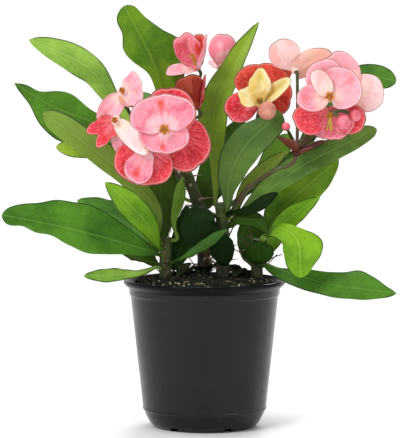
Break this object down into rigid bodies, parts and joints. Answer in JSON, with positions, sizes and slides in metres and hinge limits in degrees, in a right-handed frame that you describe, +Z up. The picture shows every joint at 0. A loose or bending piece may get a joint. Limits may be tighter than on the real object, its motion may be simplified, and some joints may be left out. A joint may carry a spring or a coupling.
{
  "type": "crown of thorns plant",
  "caption": "Potted crown of thorns: thorny stems, waved oblong leaves and clusters of pink, red and cream bracts in a black nursery pot.",
  "frame": {"origin": "middle of the pot's flat underside, which is the mount base", "axes": "+Z up from the pot to the plant; -Y is the front, the side that the blooms look to; +X is to the right as seen from the front"},
  "size_m": [0.2613, 0.1301, 0.2825],
  "materials": {
    "pot": "thin black moulded plastic, smooth and slightly glossy",
    "soil": "dark moist peat with flecks of bark and perlite, matt",
    "stem": "green-brown bark with grey-brown spines, matt",
    "stalk": "smooth green flower stalks with yellow cups",
    "leaf_deep": "dark green leaf, satin",
    "leaf_green": "green leaf, satin",
    "leaf_mid": "mid green leaf, satin",
    "leaf_bright": "bright green leaf, satin",
    "leaf_fresh": "yellow-green young leaf, satin",
    "leaf_light": "light green leaf, satin",
    "bract_pale": "pale pink bract, matt velvet",
    "bract_rose": "rose bract, matt velvet",
    "bract_red": "red bract, matt velvet",
    "bract_dark": "dark red bract, matt velvet",
    "bract_cream": "cream bract, matt velvet"
  },
  "bodies": {
    "root": {"pot": "pot", "soil": "soil", "stem_left": "stem", "stem_middle": "stem", "stem_centre": "stem", "stem_right": "stem", "leaf_top_left_lobed": "leaf_bright", "leaf_left_arched": "leaf_light", "leaf_left_pointed": "leaf_green", "leaf_left_upper": "leaf_mid", "leaf_left_young": "leaf_fresh", "leaf_left_inner": "leaf_deep", "leaf_left_long": "leaf_green", "leaf_left_behind": "leaf_green", "leaf_left_under": "leaf_deep", "leaf_left_bright": "leaf_fresh", "leaf_left_pale_tip": "leaf_light", "leaf_left_low": "leaf_light", "leaf_left_upright": "leaf_green", "leaf_front_folded": "leaf_green", "leaf_front_round": "leaf_deep", "leaf_top_tall": "leaf_bright", "leaf_centre_broad": "leaf_mid", "leaf_centre_narrow": "leaf_mid", "leaf_right_large": "leaf_mid", "leaf_right_broad": "leaf_bright", "leaf_right_bright": "leaf_fresh", "leaf_right_hanging": "leaf_fresh", "leaf_right_low": "leaf_green", "leaf_top_right": "leaf_green", "leaf_centre_curled": "leaf_deep", "leaf_centre_dark": "leaf_deep", "leaf_base_centre": "leaf_deep", "leaf_base_right": "leaf_deep", "leaf_back_left": "leaf_green", "leaf_back_upper_left": "leaf_green", "leaf_back_middle": "leaf_deep", "leaf_back_lower_left": "leaf_deep", "leaf_back_right": "leaf_green", "leaf_back_low_right": "leaf_deep", "flower_stalks_left": "stalk", "bloom_left_front": "bract_pale", "bloom_left_behind": "bract_red", "bloom_left_lower": "bract_rose", "bloom_left_outer": "bract_pale", "bloom_left_top": "bract_pale", "flower_stalks_top": "stalk", "bloom_top_cup": "bract_rose", "bloom_top_back": "bract_pale", "bloom_top_lower": "bract_dark", "flower_stalks_centre": "stalk", "bloom_centre_red": "bract_red", "bloom_centre_cream": "bract_cream", "flower_stalks_right": "stalk", "bloom_right_front": "bract_pale", "bloom_right_back_left": "bract_pale", "bloom_right_back": "bract_pale", "bloom_right_red": "bract_red", "bloom_right_fork": "bract_dark"}
  },
  "joints": []
}
